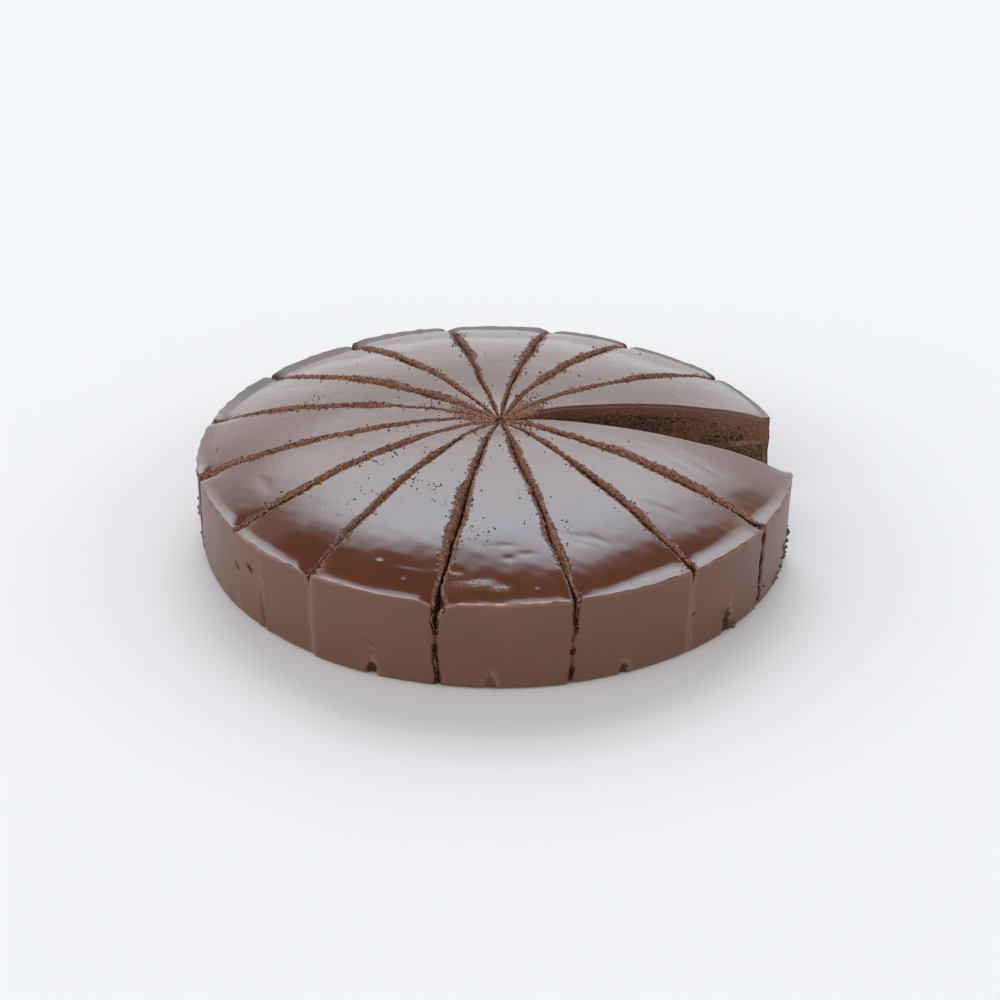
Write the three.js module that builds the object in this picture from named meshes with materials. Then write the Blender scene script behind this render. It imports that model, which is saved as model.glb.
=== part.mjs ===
// A round chocolate fudge cake, cut by hand into portions, with one portion gone.
// Each portion is a wedge of four layers: lower sponge, filling, upper sponge and icing.
// The cake's axis is Z, its base is at Z = 0, and the empty place lies along +X.

import * as THREE from "three";

// Outside shape, in millimetres
const CAKE_RADIUS = 135;
const CROWN_HEIGHT = 56.5;
const RIM_HEIGHT = 40.5;
const CROWN_POWER = 2.8;
const RIM_ROUND = 1.2;
const BASE_ROUND = 2.5;

// Near the rim the dome turns level, as a ledge: its width, the part that blends, and the slope undone
const LEDGE_WIDTH = 7.2;
const LEDGE_BLEND = 3;
const LEDGE_SLOPE = 0.38;

// Cuts, in degrees counter-clockwise from +X. The first and the last bound the empty place.
const CUT_ANGLES = [
  12.5, 35, 59.5, 78, 101, 124, 147, 171, 194.5, 216, 237, 260.5, 283.5, 306.5, 327, 350,
];

// Width of the gap that the knife left, and of each wedge's blunt tip, in millimetres
const GAP_AT_CENTRE = 0.3;
const GAP_AT_RIM = 1.3;
const TIP_WIDTH = 0.5;

// Layers, in millimetres. The filling is flat and the upper sponge follows the crown.
const FILLING_BOTTOM = 27;
const FILLING_TOP = 29.5;
const TOP_ICING = 6.5;
const SIDE_ICING = 4;
const SHOULDER_REACH = 12;
const SHOULDER_FOOT = 32;
const LAYER_GAP = 0.2;

// The icing falls away along a cut: its width and depth at the tip and the rim, how far the side is
// pared back, and the small edge that faces the empty place
const LIP_AT_TIP = { width: 1.6, depth: 1.5 };
const LIP_AT_RIM = { width: 5, depth: 4.4 };
const LIP_AT_GAP = { width: 1.2, depth: 0.9 };
const SIDE_PARED = 1;
const WIDEST_LIP = 0.4;

// How far one wedge may differ from the next, in millimetres
const UNEVEN_RISE = 0.8;
const UNEVEN_REACH = 0.6;
const SEED = 16;

// How finely the curves are divided
const TOP_STATIONS = 9;
const RIM_STATIONS = 2;
const SHOULDER_STATIONS = 4;
const LIP_STEPS = 2;
const LEVEL_STEPS = 3;
const SPONGE_STATIONS = 7;
const ARC_STEPS = 3;

const SPONGE_RADIUS = CAKE_RADIUS - SIDE_ICING;
const LEDGE_START = CAKE_RADIUS - LEDGE_WIDTH;
const UPWARD = Math.PI / 2;
const radians = THREE.MathUtils.degToRad;
const mix = THREE.MathUtils.lerp;

const icingMaterial = new THREE.MeshStandardMaterial({ color: 0x5e4034, roughness: 0.35 });
const spongeMaterial = new THREE.MeshStandardMaterial({ color: 0x47301f, roughness: 0.95 });
const fillingMaterial = new THREE.MeshStandardMaterial({ color: 0x68482f, roughness: 0.6 });

// Repeatable random numbers from -1 to 1
function randomDraws(seed) {
  let state = seed;
  return () => {
    state = (state * 16807) % 2147483647;
    return (2 * state) / 2147483647 - 1;
  };
}

// Evenly spaced values, both ends included
function spread(from, to, count) {
  return Array.from({ length: count }, (_, index) => mix(from, to, index / (count - 1)));
}

// How far the ledge rises above the line of the dome, at a distance in from where it starts
function ledgeRise(into) {
  if (into < LEDGE_BLEND) {
    return (LEDGE_SLOPE * Math.max(into, 0) ** 2) / (2 * LEDGE_BLEND);
  }
  return LEDGE_SLOPE * (into - LEDGE_BLEND / 2);
}

// Height of the domed top, midway between two cuts
function crown(radius, wedge) {
  const share = radius / CAKE_RADIUS;
  const fall = (CROWN_HEIGHT - RIM_HEIGHT + ledgeRise(LEDGE_WIDTH)) * share ** CROWN_POWER;
  return CROWN_HEIGHT - fall + ledgeRise(radius - LEDGE_START) + wedge.rise * share * share;
}

// Angles of a wedge's two cut walls at a radius, with half of the knife's gap on each side
function wallAngles(wedge, radius) {
  const halfGap = mix(GAP_AT_CENTRE, GAP_AT_RIM, radius / CAKE_RADIUS) / 2;
  const turn = Math.asin(halfGap / radius);
  return [wedge.from + turn, wedge.to - turn];
}

function pointAt(radius, angle, height) {
  return new THREE.Vector3(radius * Math.cos(angle), radius * Math.sin(angle), height);
}

// One row of points across a wedge, at a constant radius and height
function arcRow(wedge, radius, height, steps) {
  const [from, to] = wallAngles(wedge, radius);
  return spread(from, to, steps + 1).map((angle) => pointAt(radius, angle, height));
}

// Width and depth of the fall along one of a wedge's cuts, in a row of points with a radius and a span
function lipAt(wedge, side, radius, span) {
  const share = radius / CAKE_RADIUS;
  const usual = {
    width: mix(LIP_AT_TIP.width, LIP_AT_RIM.width, share),
    depth: mix(LIP_AT_TIP.depth, LIP_AT_RIM.depth, share),
  };
  const lip = wedge.opens[side] ? LIP_AT_GAP : usual;
  const width = Math.min(lip.width, WIDEST_LIP * span);
  return { width, depth: lip.depth * (width / lip.width) };
}

// One row of points across the icing's outside, which falls away at both cuts.
// A station's follow is the share of that fall which it takes: all on top, none at the base.
// Its pared is how far it is cut back at the side.
function icingRow(wedge, station) {
  const [from, to] = wallAngles(wedge, station.radius);
  const span = (to - from) * station.radius;
  const lips = [0, 1].map((side) => lipAt(wedge, side, station.radius, span));
  const inwards = [1, -1];
  const edges = lips.map(({ width, depth }, side) =>
    spread(0, 1, LIP_STEPS + 1).map((share) => {
      const fall = (1 - share) ** 2;
      const radius = station.radius - station.pared * fall;
      const angle = wallAngles(wedge, radius)[side] + (inwards[side] * width * share) / radius;
      return pointAt(radius, angle, station.height - station.follow * depth * fall);
    }),
  );
  const first = from + lips[0].width / station.radius;
  const last = to - lips[1].width / station.radius;
  const level = spread(first, last, LEVEL_STEPS + 1).slice(1, -1);
  return [
    ...edges[0],
    ...level.map((angle) => pointAt(station.radius, angle, station.height)),
    ...edges[1].reverse(),
  ];
}

// The icing's outside, from the tip over the crown, the ledge and the rim, and down the side to the base
function icingStations(wedge) {
  const reach = CAKE_RADIUS + wedge.reach;
  const roundStart = reach - RIM_ROUND;
  const radii = [...spread(wedge.tip, LEDGE_START, TOP_STATIONS), LEDGE_START + LEDGE_BLEND, roundStart];
  const stations = radii.map((radius) => ({ radius, height: crown(radius, wedge), follow: 1, pared: 0 }));
  const roundHeight = crown(roundStart, wedge) - RIM_ROUND;
  spread(UPWARD, 0, RIM_STATIONS + 1).slice(1).forEach((facing) => {
    stations.push({
      radius: roundStart + RIM_ROUND * Math.cos(facing),
      height: roundHeight + RIM_ROUND * Math.sin(facing),
      follow: 1,
      pared: SIDE_PARED * Math.cos(facing),
    });
  });
  stations.push({ radius: reach, height: BASE_ROUND, follow: 0, pared: SIDE_PARED });
  stations.push({ radius: reach - BASE_ROUND, height: 0, follow: 0, pared: SIDE_PARED });
  return stations;
}

// The sponge's outline under the icing: domed top, rounded shoulder, then its upright side.
// inset moves the outline inwards, which leaves the gap between two layers.
function spongeTop(wedge, inset, count) {
  const side = SPONGE_RADIUS - inset;
  const shoulderStart = side - SHOULDER_REACH;
  const outline = spread(wedge.tip, shoulderStart, count).map((radius) => ({
    radius,
    height: crown(radius, wedge) - TOP_ICING - inset,
  }));
  const shoulderFall = outline.at(-1).height - SHOULDER_FOOT;
  spread(UPWARD, 0, SHOULDER_STATIONS + 1).slice(1).forEach((facing) => {
    outline.push({
      radius: shoulderStart + SHOULDER_REACH * Math.cos(facing),
      height: SHOULDER_FOOT + shoulderFall * Math.sin(facing),
    });
  });
  return outline;
}

// A closed solid between an upper and a lower sheet of points with the same rows and columns.
// Rows run from the tip outwards and columns run counter-clockwise from cut to cut.
function slab(name, upper, lower, material) {
  const rows = upper.length;
  const columns = upper[0].length;
  const triangles = [];
  const top = (row, column) => row * columns + column;
  const under = (row, column) => (rows + row) * columns + column;
  const quad = (a, b, c, d) => triangles.push(a, b, c, a, c, d);
  for (let row = 0; row < rows - 1; row += 1) {
    const next = row + 1;
    const last = columns - 1;
    for (let column = 0; column < last; column += 1) {
      const beside = column + 1;
      quad(top(row, column), top(next, column), top(next, beside), top(row, beside));
      quad(under(row, column), under(row, beside), under(next, beside), under(next, column));
    }
    quad(top(row, 0), under(row, 0), under(next, 0), top(next, 0));
    quad(top(row, last), top(next, last), under(next, last), under(row, last));
  }
  for (let column = 0; column < columns - 1; column += 1) {
    const beside = column + 1;
    const rim = rows - 1;
    quad(top(0, column), top(0, beside), under(0, beside), under(0, column));
    quad(top(rim, column), under(rim, column), under(rim, beside), top(rim, beside));
  }
  const geometry = new THREE.BufferGeometry();
  geometry.setFromPoints([...upper.flat(), ...lower.flat()]);
  geometry.setIndex(triangles);
  geometry.computeVertexNormals();
  const mesh = new THREE.Mesh(geometry, material);
  mesh.name = name;
  return mesh;
}

// A layer with a flat top and a flat bottom
function flatLayer(name, wedge, bottom, top, material) {
  const radii = spread(wedge.tip, SPONGE_RADIUS - LAYER_GAP, SPONGE_STATIONS);
  const sheet = (height) => radii.map((radius) => arcRow(wedge, radius, height, ARC_STEPS));
  return slab(name, sheet(top), sheet(bottom), material);
}

function upperSponge(name, wedge) {
  const outline = spongeTop(wedge, LAYER_GAP, SPONGE_STATIONS);
  const base = spread(wedge.tip, SPONGE_RADIUS - LAYER_GAP, outline.length);
  const upper = outline.map(({ radius, height }) => arcRow(wedge, radius, height, ARC_STEPS));
  const lower = base.map((radius) => arcRow(wedge, radius, FILLING_TOP + LAYER_GAP, ARC_STEPS));
  return slab(name, upper, lower, spongeMaterial);
}

function icing(name, wedge) {
  const outside = icingStations(wedge).map((station) => icingRow(wedge, station));
  const inside = spongeTop(wedge, 0, TOP_STATIONS);
  inside.push({ radius: SPONGE_RADIUS, height: BASE_ROUND });
  inside.push({ radius: SPONGE_RADIUS, height: 0 });
  const steps = outside[0].length - 1;
  const inner = inside.map(({ radius, height }) => arcRow(wedge, radius, height, steps));
  return slab(name, outside, inner, icingMaterial);
}

const cake = new THREE.Group();
cake.name = "fudge_cake";
const draw = randomDraws(SEED);

CUT_ANGLES.slice(0, -1).forEach((cut, index) => {
  const from = radians(cut);
  const to = radians(CUT_ANGLES[index + 1]);
  const tip = (GAP_AT_CENTRE + TIP_WIDTH) / 2 / Math.sin((to - from) / 2);
  const opens = [index === 0, index === CUT_ANGLES.length - 2];
  const rise = UNEVEN_RISE * draw();
  const reach = UNEVEN_REACH * draw();
  const wedge = { from, to, tip, rise, reach, opens };
  const name = `slice_${String(index + 1).padStart(2, "0")}`;
  cake.add(
    flatLayer(`${name}_sponge_lower`, wedge, 0, FILLING_BOTTOM - LAYER_GAP, spongeMaterial),
    flatLayer(`${name}_filling`, wedge, FILLING_BOTTOM, FILLING_TOP, fillingMaterial),
    upperSponge(`${name}_sponge_upper`, wedge),
    icing(`${name}_icing`, wedge),
  );
});

export default cake;
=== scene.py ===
"""A domed chocolate fudge cake, cut by hand into wedges with one wedge gone.

Each wedge is a lower sponge, a thin filling, an upper sponge and icing. Crumbs lie along the cuts
and on the icing.
"""
import math
from dataclasses import dataclass

import bpy
import numpy as np
from mathutils import Matrix, Vector


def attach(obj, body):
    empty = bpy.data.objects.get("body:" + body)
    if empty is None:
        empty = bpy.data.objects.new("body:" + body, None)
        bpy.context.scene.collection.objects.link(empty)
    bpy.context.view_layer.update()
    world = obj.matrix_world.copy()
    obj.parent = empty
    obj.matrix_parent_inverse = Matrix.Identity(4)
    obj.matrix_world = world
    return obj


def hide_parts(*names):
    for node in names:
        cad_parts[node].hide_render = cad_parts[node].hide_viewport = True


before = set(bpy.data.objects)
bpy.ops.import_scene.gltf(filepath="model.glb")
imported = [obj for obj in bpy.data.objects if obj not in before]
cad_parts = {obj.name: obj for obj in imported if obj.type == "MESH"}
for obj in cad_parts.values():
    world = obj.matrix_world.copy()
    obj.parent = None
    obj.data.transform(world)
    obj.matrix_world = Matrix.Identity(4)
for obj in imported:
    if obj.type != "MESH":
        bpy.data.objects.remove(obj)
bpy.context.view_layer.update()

# Outside shape, in metres
CAKE_RADIUS = 0.135
CROWN_HEIGHT = 0.0565
RIM_HEIGHT = 0.0405
CROWN_POWER = 2.8
LEDGE_WIDTH = 0.0072
LEDGE_SLOPE = 0.34
RIM_ROUND = 0.0010
BASE_ROUND = 0.0025

# The ledge by the rim, as shares of its plain width and slope
# At the front, between these angles in degrees, it is narrower and turns up less. To the right it is wider.
# At the back it is a narrow lip with a sharp crease and painted shade, which is wider to the left.
# The back begins between these shares of the radius behind the middle, and the left between these to the left
# of it.
FRONT_STARTS, FRONT_ENDS = (230, 241), (283, 298)
FRONT_WIDTH, FRONT_LEDGE = 0.72, 0.40
RIGHT_STARTS, RIGHT_ENDS = (289, 302), (326, 345)
RIGHT_WIDTH = 1.35
BACK_STARTS, LEFT_STARTS = (0.05, 0.45), (0.35, 0.65)
BACK_WIDTH, BACK_LEDGE = 0.46, 1.3
LEFT_WIDTH, LEFT_LEDGE = 1.0, 1.2
LIP_BLEND = 0.0006
# How much painted shade darkens the lip at the back
LIP_SHADE = 0.42
UNEVEN_LEDGE, UNEVEN_FRONT, UNEVEN_LIP = 0.14, 0.05, 0.05

# Where the cuts meet, a little off the middle, and how far the tips have sunk there
MEETING_SHIFT = (0.0017, -0.0045)
MEETING_REACH = 0.022
TIP_SINK, TIP_REACH = 0.0018, 0.012

# Cuts, in degrees counter-clockwise from +X. The first and the last bound the empty place.
CUT_ANGLES = (12.5, 35, 59.5, 78, 101, 124, 147, 171, 194.5, 216, 237, 260.5, 283.5, 306.5, 327, 350)
OPEN_CUTS = (0, len(CUT_ANGLES) - 1)
SMEARED_CUTS = (9, 10, 13)
TIP_WIDTH = 0.0005
KNIFE_SWAY = 0.00035

# The knife's gap: inside the cake, on its top and in the rim by cut, and shut
GAP_AT_CENTRE = 0.0003
GAP_AT_RIM = 0.0013
TOP_GAPS = {3: 0.0004, 4: 0.0004, 11: 0.0011, 12: 0.0003}
PLAIN_TOP_GAP = 0.0006
RIM_NOTCHES = {9: 0.0006, 10: 0.0024, 11: 0.0042, 12: 0.0018, 13: 0.0022, 14: 0.0016}
PLAIN_NOTCH = 0.0011
SHUT_GAP = 0.00004

# The crack that a cut leaves in the side: its width, and how far down the notch in the rim reaches
SIDE_CRACKS = {
    9: (0.0, 0.003),
    10: (0.0, 0.010),
    11: (0.0006, 0.015),
    12: (0.0005, 0.011),
    13: (0.0, 0.008),
    14: (0.0013, 0.018),
}
PLAIN_CRACK = (0.0005, 0.010)
CRACK_RAG = 0.8
CRACK_SWAY = 0.0004
# Where the gap turns into the crack, as shares of the radius
SIDE_STARTS = (0.93, 0.98)
# How far from the crack it is crumbly, and how much
CRACK_CRUMBS, CRACK_COVER = 0.0009, 0.42
# The crack's shade, which is broken into dashes: how far it reaches, how full it is, and how long the dashes
CRACK_SHADE, CRACK_CORE, CRACK_DASHES = 0.0008, 1.5, 0.85

# The crumbly groove along a cut: the width of one of its sides, and its depth for that width
GROOVE_AT_TIP = 0.0010
GROOVE_AT_MIDDLE = 0.0023
GROOVE_AT_RIM = 0.0010
GROOVE_STEEPNESS, GROOVE_CURVE = 1.25, 1.15
# Where it is widest and where it narrows again, as shares of the radius, and how uneven it is
GROOVE_WIDEST, GROOVE_NARROWS = 0.6, (0.72, 1.0)
GROOVE_SWELL, GROOVE_RAG, GROOVE_LIMITS = 0.20, 0.09, (0.45, 1.8)
GROOVE_GRIT = 0.00022
# How much of a wedge's width a groove may take up, alone and with its corner
GROOVE_SHARE, SHOULDER_SHARE = 0.32, 0.44
# By cut: how wide it is, how far it leans to one side, and its width at the tip and at the rim
GROOVE_SCALES = (1, 1, 1.1, 1, 1, 0.95, 1.4, 1.2, 0.95, 0.9, 0.8, 1.1, 1.1, 0.85, 1.05, 1)
GROOVE_LEANS = {10: 0.2, 11: 0.3, 13: -0.2, 14: -0.2}
WIDE_AT_TIP = {6: 2.2, 14: 2.0}
WIDE_AT_RIM = {7: 1.8, 8: 1.6, 10: 0.7}
# How crumbly it is at the knife, by cut: the higher, the wider its bottom of painted shade. Crumbs reach past
# its edge.
GROOVE_SHADES = {3: 1.3, 4: 1.3, 5: 1.55, 6: 1.7, 7: 1.5, 10: 1.55, 12: 1.25, 13: 1.75, 14: 1.85}
PLAIN_SHADE = 1.4
CRUMB_REACH = 1.4
# The edges of the two cuts that stand open, and how crumbly the knife left the walls there and in the others
CLEAN_EDGE = 0.0010
# In the shut cuts the walls get the full painted shade of a groove's bottom
KNIFE_DRAG, DEEP_CUT = 0.32, 1.4
# By the back rim the grooves are cleaner: the shares of the radius behind the middle and the distances from
# the rim between which this begins, and by how much
CLEAN_BACK, CLEAN_RIM, CLEANED = (0.0, 0.4), (0.009, 0.005), 0.8

# How far a wedge's corners at the rim have dropped, before a cut and after it
CORNER_DROP = 0.0026
CORNERS = {
    0: (0.3, 0.3), 9: (0.5, 0.2), 10: (0.85, 0.5), 11: (1.0, 0.9),
    12: (0.35, 0.15), 13: (0.3, 0.1), 14: (0.4, 0.1), 15: (0.3, 0.3),
}
PLAIN_CORNER = (0.65, 0.65)
CORNER_WIDTH = 0.007
CORNER_REACH = 0.016
# The edges of the side by a cut, which are smeared shut at some cuts
SIDE_EDGE_DROP = 0.0010
SIDE_EDGE_WIDTH = 0.0025
SMEARED_EDGE = 0.25
SMEAR_WIDTH = 0.0016

# Layers, in metres
FILLING_BOTTOM = 0.027
FILLING_TOP = 0.0295
TOP_ICING = 0.0065
SIDE_ICING = 0.004
SPONGE_RADIUS = CAKE_RADIUS - SIDE_ICING
SHOULDER_REACH = 0.012
SHOULDER_FOOT = 0.032
LAYER_WAVE, LAYER_RAG, LAYER_CALM = 0.0005, 0.0003, 0.004

# The crumb of the cut faces, in metres, and how much of it is left at a layer's edges
SPONGE_FACE = {"Pore Size": 0.0026, "Pore Depth": 0.0016, "Grain Size": 0.0016, "Grain Height": 0.0005}
FILLING_FACE = {"Pore Size": 0.003, "Pore Depth": 0.0004, "Grain Size": 0.003, "Grain Height": 0.0004}
EDGE_RELIEF = 0.6

# Unevenness of the wedges, drawn as the solids draw it
UNEVEN_RISE = 0.0008
UNEVEN_REACH = 0.0006
WEDGE_SEED = 16
DRAW_STEP, DRAW_LIMIT = 16807, 2147483647

# Unevenness of the icing, in metres
SWELL_HEIGHT, SWELL_LENGTH = 0.00010, 0.040
RIPPLE_HEIGHT, RIPPLE_LENGTH = 0.000012, 0.008
RAGGED_RIM, RAGGED_LENGTH = 0.00026, 0.007
RAGGED_REACH = 0.0014
# The pale painted highlight along the rim: its reach, the angles in degrees between which it starts and
# fades, and how much of it is left elsewhere
RIM_HIGHLIGHT_REACH = 0.0009
RIM_HIGHLIGHT_STARTS, RIM_HIGHLIGHT_FADES, FAINT_HIGHLIGHT = (208, 222), (270, 284), 0.3

# How far from the middle the top is torn, by wedge, and at how many times that the tear and its crumbs end
TORN_TIPS = {
    1: 0.018, 2: 0.016, 3: 0.008, 4: 0.003, 5: 0.003, 6: 0.008, 7: 0.018, 8: 0.016,
    9: 0.012, 10: 0.011, 11: 0.006, 12: 0.007, 13: 0.008, 14: 0.010, 15: 0.013,
}
TORN_EDGE, TORN_CRUMBS = 1.5, 2.2

# Low marks in the top: angle in degrees, then radius, length along the rim, width and rise in metres
TOP_MARKS = (
    (247.5, 0.120, 0.0013, 0.0010, 0.00026),
    (253.5, 0.126, 0.0010, 0.0009, 0.00014),
    (254.5, 0.121, 0.0085, 0.0013, 0.00012),
    (262.5, 0.121, 0.0035, 0.0014, 0.00016),
    (267.5, 0.125, 0.0055, 0.0020, 0.00014),
    (271.0, 0.127, 0.0035, 0.0015, 0.00010),
    (277.5, 0.128, 0.0010, 0.0009, 0.00012),
    (273.0, 0.111, 0.0030, 0.0016, -0.00013),
    (272.0, 0.104, 0.0050, 0.0014, -0.00008),
    (276.5, 0.109, 0.0045, 0.0014, -0.00008),
    (187.0, 0.126, 0.0050, 0.0012, -0.00020),
    (207.0, 0.111, 0.0080, 0.0030, -0.00016),
    (240.0, 0.135, 0.0420, 0.0220, -0.00060),
    (257.0, 0.135, 0.0340, 0.0260, -0.00085),
    (293.0, 0.135, 0.0160, 0.0240, -0.00040),
)
# Scuffs in the top: angle in degrees, then radius, length along the rim and width in metres, and how much
TOP_SCUFFS = (
    (267.5, 0.125, 0.0060, 0.0018, 1.0),
    (271.0, 0.127, 0.0035, 0.0014, 1.0),
    # This broad, faint one is a real scuff whose paler colour is also a painted highlight on the dark band
    # there
    (262.5, 0.125, 0.0050, 0.0035, 0.4),
)

# Strokes of the spreading knife, which run to the right and towards the front: their faint grain, which
# deepens to the right, and the marked ones as angle in degrees and radius, way they run in degrees, half
# length, half width and depth
STROKE_TURN = math.radians(-42)
STROKE_LENGTH, STROKE_WIDTH, STROKE_DEPTH = 0.022, 0.0032, 0.000007
STROKES_DEEPEN, FAINT_STROKES = (-0.03, 0.04), 0.1
STROKES = (
    (293.5, 0.085, -38, 0.0055, 0.0015, 0.00020),
    (295.0, 0.083, -36, 0.0040, 0.0011, 0.00014),
    (292.0, 0.087, -34, 0.0045, 0.0013, 0.00016),
    (289.0, 0.102, -10, 0.0055, 0.0020, 0.00018),
    (293.5, 0.106, -26, 0.0050, 0.0019, 0.00018),
    (289.0, 0.106, -14, 0.0060, 0.0014, 0.00010),
    (312.5, 0.097, -28, 0.0060, 0.0017, 0.00017),
    (314.5, 0.104, -30, 0.0060, 0.0018, 0.00016),
    (316.5, 0.093, -26, 0.0070, 0.0015, 0.00010),
    (334.0, 0.090, -38, 0.0080, 0.0015, 0.00012),
    (337.0, 0.100, -36, 0.0080, 0.0015, 0.00010),
)

# Chips in the foot of a side, by wedge: angle in degrees, then half width, height and depth in metres
CHIPS = {
    10: (224.5, 0.0020, 0.026, 0.0004),
    11: (249.0, 0.0030, 0.008, 0.0016),
    12: (269.5, 0.0030, 0.008, 0.0004),
    13: (293.0, 0.0025, 0.007, 0.0008),
    14: (316.0, 0.0030, 0.015, 0.0007),
}
CHIP_EDGE, CHIP_RAG = 0.0009, 0.0005
# A chip's raised, scuffed lip, which is lower on its left, and from what depth a chip's hollow takes painted
# shade, and how much
CHIP_LIP, LEFT_LIP, LIP_SCUFF = 0.00040, 0.3, 0.7
DEEP_CHIP, CHIP_SHADE = 0.0008, 0.65

# Nicks in a side: angle in degrees, then height, length, width and depth in metres, and how much painted
# shade they take
SIDE_NICKS = (
    (216.5, 0.0230, 0.0018, 0.0010, 0.0022, 1.6),
    (221.0, 0.0265, 0.0020, 0.0011, 0.0022, 1.6),
    (249.0, 0.0155, 0.0030, 0.0013, 0.0006, 0.15),
    (307.0, 0.0190, 0.0008, 0.0014, 0.0004, 0.7),
)
NICK_TILT = math.radians(-35)

# Crumbs stuck to the side: angle in degrees, then height and spread in metres, and how thick
SIDE_CRUMBS = (
    (188.0, 0.0200, 0.0030, 1.0), (187.0, 0.0130, 0.0030, 1.0), (190.0, 0.0060, 0.0030, 0.8),
    (186.0, 0.0360, 0.0016, 0.8), (341.0, 0.0060, 0.0050, 1.0), (346.0, 0.0110, 0.0040, 1.0),
    (336.0, 0.0020, 0.0030, 1.0), (318.0, 0.0030, 0.0020, 1.0), (327.6, 0.0060, 0.0030, 0.6),
)

# Heaps of loose crumbs on the top: angle in degrees, then radius and spread in metres, and how thick
CRUMB_HEAPS = (
    (266.0, 0.096, 0.0055, 2.4), (287.5, 0.095, 0.0040, 2.0), (221.0, 0.067, 0.0060, 1.6),
    (200.5, 0.046, 0.0050, 1.8), (231.0, 0.051, 0.0060, 2.2), (227.5, 0.085, 0.0040, 1.6),
    (241.0, 0.071, 0.0045, 1.8), (249.5, 0.073, 0.0045, 2.0), (255.5, 0.080, 0.0040, 1.8),
    (256.0, 0.106, 0.0022, 2.5), (278.5, 0.070, 0.0020, 2.5), (277.5, 0.090, 0.0020, 2.5),
    (264.0, 0.039, 0.0025, 2.5), (311.5, 0.078, 0.0020, 2.0), (303.5, 0.093, 0.0030, 1.6),
    (164.5, 0.088, 0.0050, 1.4), (76.5, 0.076, 0.0030, 1.4), (231.0, 0.095, 0.0040, 1.4),
)
# Loose crumbs along the grooves' edges, which lie in clusters, and those strewn all over
CRUMB_SPREAD, HALO_COVER, STRAY_COVER = 0.0011, 2.5, 0.01
CLUSTER_MEAN, CLUSTER_SWING, CLUSTER_LIMITS = 0.8, 0.7, (0.1, 2)
# Crumbs in a groove, by how crumbly it is: where the loose ones end, and where its bottom has fewer
LOOSE_ENDS = 0.6
GROOVE_COVER, BOTTOM_STARTS, FEWER_AT_BOTTOM = 1.2, (1.18, 1.38), 0.85

# Each kind of crumb: how many to a square metre, smallest and largest size in metres, seed and roundness
CRUMB_INPUTS = {
    "Crumbs per Square Metre": "Float",
    "Smallest": "Float",
    "Largest": "Float",
    "Seed": "Int",
    "Roundness": "Int",
}
CUT_CRUMBS = (800000.0, 0.0003, 0.0012, 3, 1)
LOOSE_CRUMBS = (160000.0, 0.0003, 0.0012, 5, 1)
STUCK_CRUMBS = (250000.0, 0.0008, 0.0030, 7, 2)
# How much more common small crumbs are, and how much each is squashed
MOSTLY_SMALL = 3.0
CRUMB_SQUASH = (0.65, 1.25)

# Patterns in the finishes: about how many spots to a metre
ICING_CLOUDS, RIM_HIGHLIGHT_SPOTS, POLISH_PATCHES = 45.0, 110.0, 180.0
SKIN_GRAINS, SCRAPES, SPECKS = 320.0, 900.0, 1100.0
SPONGE_PATCHES, SPONGE_GRAINS, FILLING_DRAGS = 40.0, 1000.0, 350.0
PORE_PATCHES, PORE_WOBBLES = 130.0, 400.0
CRUMB_SHADES, CRUMB_GRAINS, CRUMB_LUMPS = 600.0, 2500.0, 1100.0
FLOOR_SHADES = 3.0
# Their relief, in metres
GROOVE_SPECK_HEIGHT, SCRAPE_HEIGHT, SKIN_HEIGHT = 0.0010, 0.00030, 0.000008
SPONGE_GRAIN_HEIGHT, DRAG_HEIGHT, CRUMB_GRAIN_HEIGHT = 0.0012, 0.001, 0.0004
PORE_SHIFT = 0.0012
# The icing's roughness on top, how uneven it is, and how much rougher the side and the crumbs are
TOP_ROUGHNESS, UNEVEN_POLISH, SIDE_ROUGHER, CRUMBS_ROUGHER = 0.09, 0.04, 0.27, 0.6
# How much a scuff shows, how much of the crumbs' roughness it has, and how much shine the crumbs take
SCUFF_SHOWS, SCUFF_ROUGHER, CRUMBS_MATT = 0.7, 0.3, 0.6
# Where the icing turns into crumbs, how ragged that edge is, and where a groove's bottom takes painted shade,
# and how much
CRUMBS_BEGIN, CRUMBS_RAG = (0.28, 0.55), 1.2
BOTTOM_SHADE_RISES, BOTTOM_SHADE = (1.15, DEEP_CUT), 0.85

# Colours, alone or as two tones
TOP_TONES = ((0.103, 0.0305, 0.0130), (0.111, 0.0335, 0.0148))
SIDE_TONES = ((0.112, 0.0445, 0.0260), (0.121, 0.0480, 0.0285))
# A pale painted highlight along the rim
RIM_HIGHLIGHT_COLOUR = (0.44, 0.195, 0.100)
SCUFF_COLOUR = (0.24, 0.140, 0.100)
# Painted shade, for chips, nicks, cracks and the lip at the back
SHADE_COLOUR = (0.010, 0.004, 0.0025)
GROOVE_TONES = ((0.108, 0.044, 0.027), (0.37, 0.172, 0.106))
# Painted shade at the bottom of a groove
GROOVE_SHADE_COLOUR = (0.045, 0.015, 0.008)
SPONGE_TONES = ((0.058, 0.032, 0.021), (0.160, 0.070, 0.036))
SPONGE_GRAIN_COLOUR = (0.28, 0.128, 0.066)
# Painted shade in the sponge's pores
SPONGE_PORE_SHADE = (0.022, 0.010, 0.006)
FILLING_TONES = ((0.215, 0.092, 0.042), (0.105, 0.044, 0.023))
CUT_CRUMB_TONES = ((0.120, 0.049, 0.030), (0.47, 0.222, 0.138))
LOOSE_CRUMB_TONES = ((0.030, 0.013, 0.009), (0.16, 0.070, 0.045))
CRUMB_SHEEN = (1.0, 0.85, 0.78, 1)
FLOOR_TONES = ((0.87, 0.82, 0.79), (0.89, 0.84, 0.81))

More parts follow.
